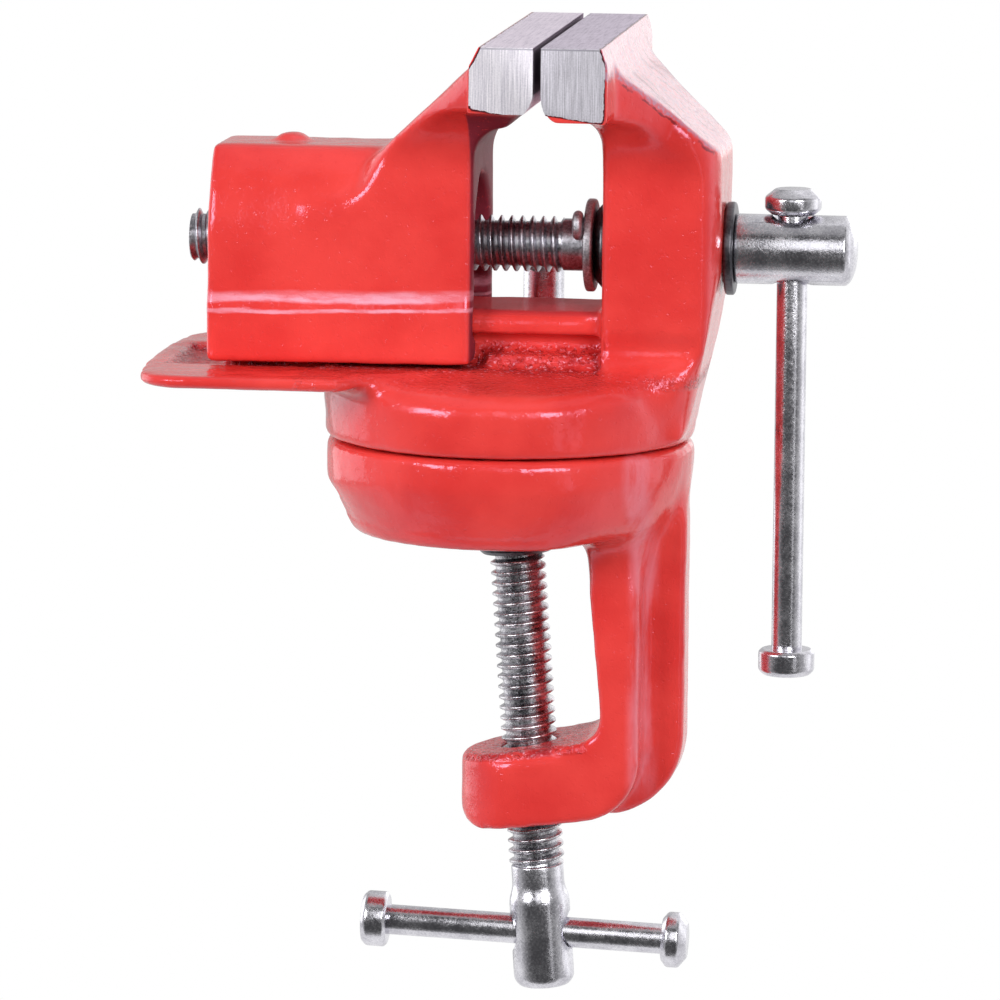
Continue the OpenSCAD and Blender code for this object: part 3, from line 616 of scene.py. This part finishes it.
def casting(name, node, body, mat, voxel, passes, swell, tuck=None, dents=()):
    """Soft-edged casting from the exact solid.

    passes gives the smoothing at a point, swell how far it waves in and out, and tuck moves it at the end."""
    obj = show(exact_solid(node), name, body, mat, [node])
    skin = obj.modifiers.new("skin", "REMESH")
    skin.mode = "VOXEL"
    skin.voxel_size = voxel * MM
    bake(obj)
    bm = bmesh.new()
    bm.from_mesh(obj.data)
    wanted = [(passes(v.co / MM), v) for v in bm.verts]
    ground = {v for count, v in wanted if count < ROUNDS}
    done = 0
    while wanted:
        bmesh.ops.smooth_vert(bm, verts=[v for _, v in wanted], factor=0.5, use_axis_x=True,
                              use_axis_y=True, use_axis_z=True)
        done += 1
        wanted = [pair for pair in wanted if pair[0] > done]
    bm.normal_update()
    for v in bm.verts:
        p = v.co / MM
        if v not in ground:
            lump = swell(p) * noise.noise(p / BROAD_WAVE)
            lump += FINE_SWELL * noise.noise(p / FINE_WAVE + Vector((7, 3, 5)))
            for centre, reach, deep in dents:
                lump -= deep * max(0.0, 1 - (p - Vector(centre)).length / reach) ** 1.5
            p += v.normal * lump
        v.co = (tuck(p) if tuck else p) * MM
    bm.to_mesh(obj.data)
    bm.free()
    obj.data.shade_smooth()


def ground_block(name, node, body, mat, cuts):
    """Crisp ground end of a jaw: the part of the exact solid inside some planes, its edges just broken."""
    bm = exact_solid(node)
    for place, way in cuts:
        bmesh.ops.bisect_plane(bm, geom=everything(bm), plane_co=Vector(place) * MM, plane_no=Vector(way),
                               clear_outer=True, dist=1e-7)
        bmesh.ops.holes_fill(bm, edges=[e for e in bm.edges if e.is_boundary])
    bmesh.ops.dissolve_limit(bm, angle_limit=math.radians(1), verts=bm.verts, edges=bm.edges)
    bmesh.ops.recalc_face_normals(bm, faces=bm.faces)
    edges = [e for e in bm.edges if len(e.link_faces) == 2 and e.calc_face_angle() > math.radians(30)]
    bmesh.ops.bevel(bm, geom=edges, offset=0.16 * MM, offset_type="OFFSET", segments=2, profile=0.5,
                    affect="EDGES", material=-1, clamp_overlap=True)
    show(bm, name, body, mat, [node], sharp=25)


def near(value, middle, reach):
    """Weight that falls smoothly from one at the middle to nothing at the reach."""
    t = max(0.0, 1 - abs(value - middle) / reach)
    return t * t * (3 - 2 * t)


def clip(weight):
    return max(0.0, min(1.0, weight))


BORE_REACH = 4.6
TIP_SIDE = 28.5
IN_BORE, AT_TIP, ON_BENCH = 1, 3, 2
RAIL_MORE, RIM_MORE, NECK_MORE = 45, 75, 60


def base_passes(p):
    """Few passes in the bore, at the tip and in the tongue's pocket, more along the rail's edges and the
    disc's rim, many where the toe runs into the disc."""
    if math.hypot(p.y, p.z - SCREW_Z) < BORE_REACH and 13 < p.x < 32:
        return IN_BORE
    if p.z > 60.4 and abs(p.y) > TIP_SIDE:
        return AT_TIP
    if -47.8 < p.x < -30 and p.z > 22 and abs(p.y) < 10.6:
        return ROUNDS // 3
    edge = near(abs(p.y), RAIL_HALF, 2.6) * near(p.z, RAIL_Z, 2.6) if -40 < p.x < 12 else 0.0
    if edge > 0:
        return ROUNDS + int(RAIL_MORE * edge)
    rim = near(math.hypot(p.x, p.y), DISC_R, 5.0) * near(p.z, DISC_Z, 4.5) * clip((18 - p.x) / 6)
    if rim > 0:
        return ROUNDS + int(RIM_MORE * rim)
    melt = near(p.x, 26.5, 9.0) * near(abs(p.y), 12.5, 8.5) * near(p.z, 20.5, 6.8)
    return ROUNDS + int((MOST - ROUNDS) * min(1.0, 1.8 * melt))


def slide_passes(p):
    """Few passes in the bore and at the tip, more where the neck rises from the hood."""
    if math.hypot(p.y, p.z - SCREW_Z) < BORE_REACH:
        return IN_BORE
    if p.z > 61.4 and abs(p.y) > TIP_SIDE:
        return AT_TIP
    return ROUNDS + int(NECK_MORE * near(p.x, -25.0, 7.0) * near(p.z, 47.5, 6.0))


def clamp_passes(p):
    """Few passes in the bore and on the bench edge, many where the head runs into the spine, along its kink,
    down its outer side and at the front edge of the arm."""
    if p.z < -25 and math.hypot(p.x - CLAMP_X + p.z * math.tan(math.radians(CLAMP_LEAN)), p.y) < 4.8:
        return IN_BORE
    if p.x < 8 and p.z < 2 and math.hypot(p.x, p.y) > 18:
        return ON_BENCH
    blend = near(p.x, 16.5, 8.5) * near(p.z, -1.0, 9.0)
    kink = near(p.z, 6.4, 5.0) * clip((p.x + 24) / 12)
    outer = 0.3 * near(p.x, 22.0, 4.5) if -32 < p.z < 2 else 0.0
    over = p.z + 31.6 - ARM_SLOPE * p.x
    front = 0.35 * near(abs(p.y), 9.7, 3.0) * near(over, 0.0, 3.0) if p.x < 9 else 0.0
    return ROUNDS + int((MOST - ROUNDS) * max(min(1.0, 1.6 * blend), 0.8 * kink, outer, front))


def base_swell(p):
    """Wavy disc, calm tongue, rail and upright."""
    if p.z < 24:
        return 0.26 * clip((p.z - 14.4) / 2) if p.x > -27 else 0.10
    return 0.06 if p.x < 14 else 0.15


def slide_swell(_):
    return 0.08


def clamp_swell(p):
    """Wavy head, calmer where the base turns on it and down the spine."""
    return 0.24 * max(0.2, min(1.0, (13.0 - p.z) / 1.2)) if p.z > -4 else 0.09


INSET = 0.25


def inside(p, x):
    """Point moved to x and kept just inside the ends and the top of a ground jaw tip."""
    side = JAW_HALF - INSET
    return Vector((x, max(-side, min(side, p.y)), min(p.z, JAW_TOP - INSET)))


def tuck_base(p):
    """Hollow the foot of the upright, and keep the casting just inside the ground faces of the fixed jaw."""
    if 14.4 < p.x < 29 and abs(p.y) > 10.5:
        hollow = 0.95 * near(p.z, 27.5, 3.0) * min(1.0, (29 - p.x) / 3)
        p.y -= math.copysign(hollow, p.y)
    return inside(p, max(p.x, GRIP_X + INSET)) if p.z > 61.0 and p.x < 16.6 else p


def tuck_slide(p):
    """Keep the casting just inside the ground faces of the sliding jaw."""
    return inside(p, min(p.x, SLIDE_GRIP_X - INSET)) if p.z > 61.8 and p.x > -2.7 else p


# Chips in the head's edge: middle, reach and depth
HEAD_CHIPS = [((-25.9, -3.6, 5.4), 2.6, 1.5), ((-25.2, -6.4, 5.0), 2.2, 0.9), ((-24.0, -9.5, 5.6), 1.8, 0.5)]

casting("clamp_casting", "clamp_frame", "clamp", PAINT_CLAMP, 0.45, clamp_passes, clamp_swell, dents=HEAD_CHIPS)
casting("base_casting", "swivel_body", "base", PAINT_BASE, 0.5, base_passes, base_swell, tuck_base)
casting("jaw_casting", "moving_jaw", "slide", PAINT_JAW, 0.45, slide_passes, slide_swell, tuck_slide)
ground_block("fixed_tip", "swivel_body", "base", TIP_FIXED,
             [((9.6, 0, 61.75), (-0.14, 0, -1)), ((16.35, 0, 65), (1, 0, 0))])
ground_block("sliding_tip", "moving_jaw", "slide", TIP_SLIDE,
             [((3.4, 0, 61.75), (-0.13, 0, -1)), ((-2.45, 0, 65), (-1, 0, 0))])

# Jaw screw

bm = threaded(root=3.2, land=0.28, top=0.14, start=SCREW_TIP, end=THREAD_STOP)
nip(bm, SCREW_TIP, 1, radius=3.2, slope=1.0)
nip(bm, THREAD_STOP, -1, radius=3.4, slope=0.8)
show(bm, "jaw_screw_thread", "screw", THREAD, ["main_screw"], ALONG_X, 50)
SHANK_R, SHANK_START, SHANK_END = 3.7, THREAD_STOP - 0.5, HEAD_X + 0.5
show(turned([(0, SHANK_START, 0), (SHANK_R, SHANK_START, 0.2), (SHANK_R, SHANK_END, 0), (0, SHANK_END, 0)]),
     "jaw_screw_shank", "screw", THREAD, ["main_screw"], ALONG_X)
head = show(turned([(0, HEAD_X, 0), (4.95, HEAD_X, 0.35), (4.95, HEAD_END - 1.5, 0.25),
                    (4.3, HEAD_END - 0.85, 0.3), (3.0, HEAD_END - 0.3, 0.4), (1.5, HEAD_END - 0.05, 0.4),
                    (0, HEAD_END, 0)]),
            "jaw_screw_head", "screw", PLATED, ["main_screw"], ALONG_X)
drill(head, shift(BAR_X, 0, SCREW_Z))


def ring(name, start, end, mat, node):
    """Flat washer on the jaw screw."""
    bore, edge, rim = 4.1, 6.6, 0.35
    show(turned([(bore, start, 0.1), (edge, start, rim), (edge, end, rim), (bore, end, 0.1)], True),
         name, "screw", mat, [node], ALONG_X)


ring("head_ring", 30.6, 31.9, DARK_STEEL_AND_SHADE, "head_washer")
ring("thrust_ring", 10.75, 12.05, WASHER, "thrust_washer")
show(turned([(4.15, 12.1, 0.1), (4.9, 12.1, 0.3), (6.2, 13.2, 0.3), (6.2, 14.0, 0.25), (4.15, 14.0, 0.1)],
            True),
     "dished_ring", "screw", DARK_STEEL_AND_SHADE, ["dished_washer"], ALONG_X)

# Bars and caps

CROWNED = [(0, 0, 0), (3.0, 0, 0.2), (4.0, 0.8, 0.3), (4.0, 2.5, 0.3), (2.5, CAP_LONG, 0.2),
           (0, CAP_LONG, 0)]
STRAIGHT = [(0, 0, 0), (3.55, 0, 0.15), (4.0, 0.45, 0.15), (4.0, 3.0, 0.3), (3.3, CAP_LONG, 0.25),
            (0, CAP_LONG, 0)]


def bar_cap(name, body, node, place, outline, up):
    """Cap of a bar, from its seat to its outer face; up is true where that face looks along local Z."""
    show(turned(outline), name, body, PLATED, [node],
         place @ (Matrix.Identity(4) if up else turn(180, "X")))


def bar(name, body, node, place, start, end):
    """Round bar along local Z."""
    show(turned([(0, start, 0), (BAR_R, start, 0.2), (BAR_R, end, 0.2), (0, end, 0)]), name, body,
         PLATED, [node], place)


JAW_BAR = shift(BAR_X, 0, 0)
bar("jaw_bar", "handle", "main_bar", JAW_BAR, start=-18.0, end=47.5)
bar_cap("jaw_bar_top", "handle", "main_bar_upper_cap", JAW_BAR @ shift(0, 0, 45.8), CROWNED, True)
bar_cap("jaw_bar_foot", "handle", "main_bar_lower_cap", JAW_BAR @ shift(0, 0, -16.4), STRAIGHT, False)

bar("clamp_cross_bar", "clamp_handle", "clamp_bar", CLAMP_BAR, start=LEFT_END + 1, end=RIGHT_END - 1)
bar_cap("clamp_bar_left", "clamp_handle", "clamp_bar_left_cap",
        CLAMP_BAR @ shift(0, 0, LEFT_END + CAP_LONG), STRAIGHT, False)
bar_cap("clamp_bar_right", "clamp_handle", "clamp_bar_right_cap",
        CLAMP_BAR @ shift(0, 0, RIGHT_END - CAP_LONG), CROWNED, True)

# Clamp screw

bm = threaded(root=3.25, land=0.28, top=0.18, start=CLAMP_NECK, end=CLAMP_TOP)
nip(bm, CLAMP_TOP, -1, radius=3.3, slope=0.9)
nip(bm, CLAMP_NECK, 1, radius=3.6, slope=0.6)
show(bm, "clamp_screw_thread", "clamp_spindle", BRIGHT, ["clamp_screw"], CLAMP_AXIS, 50)
knob = show(turned([(0, -66.8, 0), (3.5, -66.8, 0.4), (4.35, -65.8, 0.6), (4.35, -54.0, 0.8),
                    (3.75, -52.4, 0.8), (3.75, -49.0, 0.3), (0, -49.0, 0)]),
            "clamp_screw_head", "clamp_spindle", PLATED, ["clamp_screw"], CLAMP_AXIS)
drill(knob, CLAMP_AXIS @ shift(0, 0, CLAMP_BAR_Z) @ turn(90, "Y"))

# Small parts that keep their exact shape

# The pressure pad takes the dark steel as painted shade, so that it reads as the shadow under the clamp's head
for node, mat in (("pivot_bolt", DARK_STEEL_AND_SHADE), ("pivot_washer", DARK_STEEL_AND_SHADE), ("retaining_pin", WASHER),
                  ("pressure_pad", DARK_STEEL_AND_SHADE), ("lock_screw", PLATED), ("lock_bar", PLATED)):
    data = nodes[node].data
    data.materials.clear()
    data.materials.append(mat)

# Stage

WHITE, BLACK = (1, 1, 1, 1), (0, 0, 0, 1)
FLOOR_DARK, FLOOR_LIGHT = (0.84, 0.84, 0.84, 1), (0.88, 0.88, 0.88, 1)
FLOOR_GLOW = 0.8

bm = bmesh.new()
bmesh.ops.create_grid(bm, x_segments=1, y_segments=1, size=1.0)
bmesh.ops.scale(bm, verts=bm.verts, vec=(0.8, 0.5, 1))
bmesh.ops.translate(bm, verts=bm.verts, vec=(0, 0.38, -0.30))
mesh = bpy.data.meshes.new("floor")
bm.to_mesh(mesh)
bm.free()
mat = bpy.data.materials.new("pale_floor")
mat.use_nodes = True
tree = mat.node_tree
tree.nodes.remove(tree.nodes["Principled BSDF"])
speckle = cloud(tree, tree.nodes.new("ShaderNodeTexCoord").outputs["Object"], 30, 3)
matt = put(tree, "ShaderNodeBsdfDiffuse", {"Color": blend_colour(tree, speckle, FLOOR_DARK, FLOOR_LIGHT)})
glow = put(tree, "ShaderNodeEmission", {"Color": WHITE, "Strength": 1.0})
path = put(tree, "ShaderNodeLightPath").outputs
mirrored = maths(tree, "MAXIMUM", path["Is Glossy Ray"], path["Is Transmission Ray"])
seen = maths(tree, "MAXIMUM", path["Is Camera Ray"], mirrored)
mixed = put(tree, "ShaderNodeMixShader",
            {0: times(tree, seen, FLOOR_GLOW), 1: matt.outputs[0], 2: glow.outputs[0]})
tree.links.new(mixed.outputs[0], tree.nodes["Material Output"].inputs["Surface"])
mesh.materials.append(mat)
floor = bpy.data.objects.new("floor", mesh)
scene.collection.objects.link(floor)

world = bpy.data.worlds.new("studio")
world.use_nodes = True
scene.world = world
tree = world.node_tree
background = tree.nodes["Background"]
way_x, way_y, way_z = put(tree, "ShaderNodeSeparateXYZ",
                          {0: tree.nodes.new("ShaderNodeTexCoord").outputs["Generated"]}).outputs
room = times(tree, ramp(tree, way_y, -0.80, -0.05, 0.08, 0.60), ramp(tree, way_z, 0.50, 0.85, 1.0, 0.35))
path = put(tree, "ShaderNodeLightPath").outputs
mirrored = maths(tree, "MAXIMUM", path["Is Glossy Ray"], path["Is Transmission Ray"])
mirrored = times(tree, mirrored, ramp(tree, way_y, 0.0, 0.3), ramp(tree, way_x, -0.25, 0.10, 0.45, 1.0))
level = maths(tree, "MAXIMUM", maths(tree, "MAXIMUM", room, mirrored), path["Is Camera Ray"])
tree.links.new(blend_colour(tree, level, BLACK, WHITE), background.inputs["Color"])
background.inputs["Strength"].default_value = 1.0


def lamp(name, place, aim, watts, size, size_y):
    """Soft lamp that looks at a point, in millimetres and watts."""
    data = bpy.data.lights.new(name, "AREA")
    data.shape = "RECTANGLE"
    data.size = size * MM
    data.size_y = size_y * MM
    data.energy = watts
    obj = bpy.data.objects.new(name, data)
    scene.collection.objects.link(obj)
    obj.location = Vector(place) * MM
    obj.rotation_euler = (Vector(aim) - Vector(place)).to_track_quat("-Z", "Y").to_euler()
    obj.visible_camera = False


lamp("front_box", (-5, -900, 400), (0, 0, 10), 0.7, 210, 520)
lamp("left_soft", (-577, -617, 320), (0, 0, 20), 4.3, 330, 330)
lamp("right_soft", (430, -730, 320), (0, 0, 20), 4.2, 330, 330)
lamp("right_strip", (600, -670, -20), (0, 0, 0), 0.22, 90, 700)
lamp("left_box", (-757, 353, 80), (0, 0, 10), 1.6, 700, 600)
lamp("right_box", (790, 230, 60), (0, 0, 10), 0.42, 500, 600)
lamp("back_box", (420, 1000, 200), (0, 0, 20), 0.8, 700, 500)
lamp("top_box", (0, -100, 900), (0, 0, 30), 0.8, 900, 900)

# Camera: its turn, rise and roll in degrees, the point it looks at in millimetres, its distance in metres

CAMERA_TURN, CAMERA_RISE, CAMERA_ROLL = 7.2, 8.9, 0.5
CAMERA_AIM = (-1.396, 0, 3.843)
CAMERA_AWAY = 0.95

a, e, roll = math.radians(CAMERA_TURN), math.radians(CAMERA_RISE), math.radians(CAMERA_ROLL)
look = Vector((-math.sin(a) * math.cos(e), math.cos(a) * math.cos(e), -math.sin(e)))
right = Vector((math.cos(a), math.sin(a), 0))
up = Vector((-math.sin(a) * math.sin(e), math.cos(a) * math.sin(e), math.cos(e)))
across = right * math.cos(roll) + up * math.sin(roll)
above = up * math.cos(roll) - right * math.sin(roll)
camera = bpy.data.objects.new("camera", bpy.data.cameras.new("camera"))
scene.collection.objects.link(camera)
camera.data.sensor_width = 36
camera.data.lens = 239.4
camera.data.clip_end = 50
camera.matrix_world = Matrix.Translation(Vector(CAMERA_AIM) * MM - look * CAMERA_AWAY) @ Matrix(
    (across, above, -look)).transposed().to_4x4()
scene.camera = camera
scene.view_settings.view_transform = "Standard"
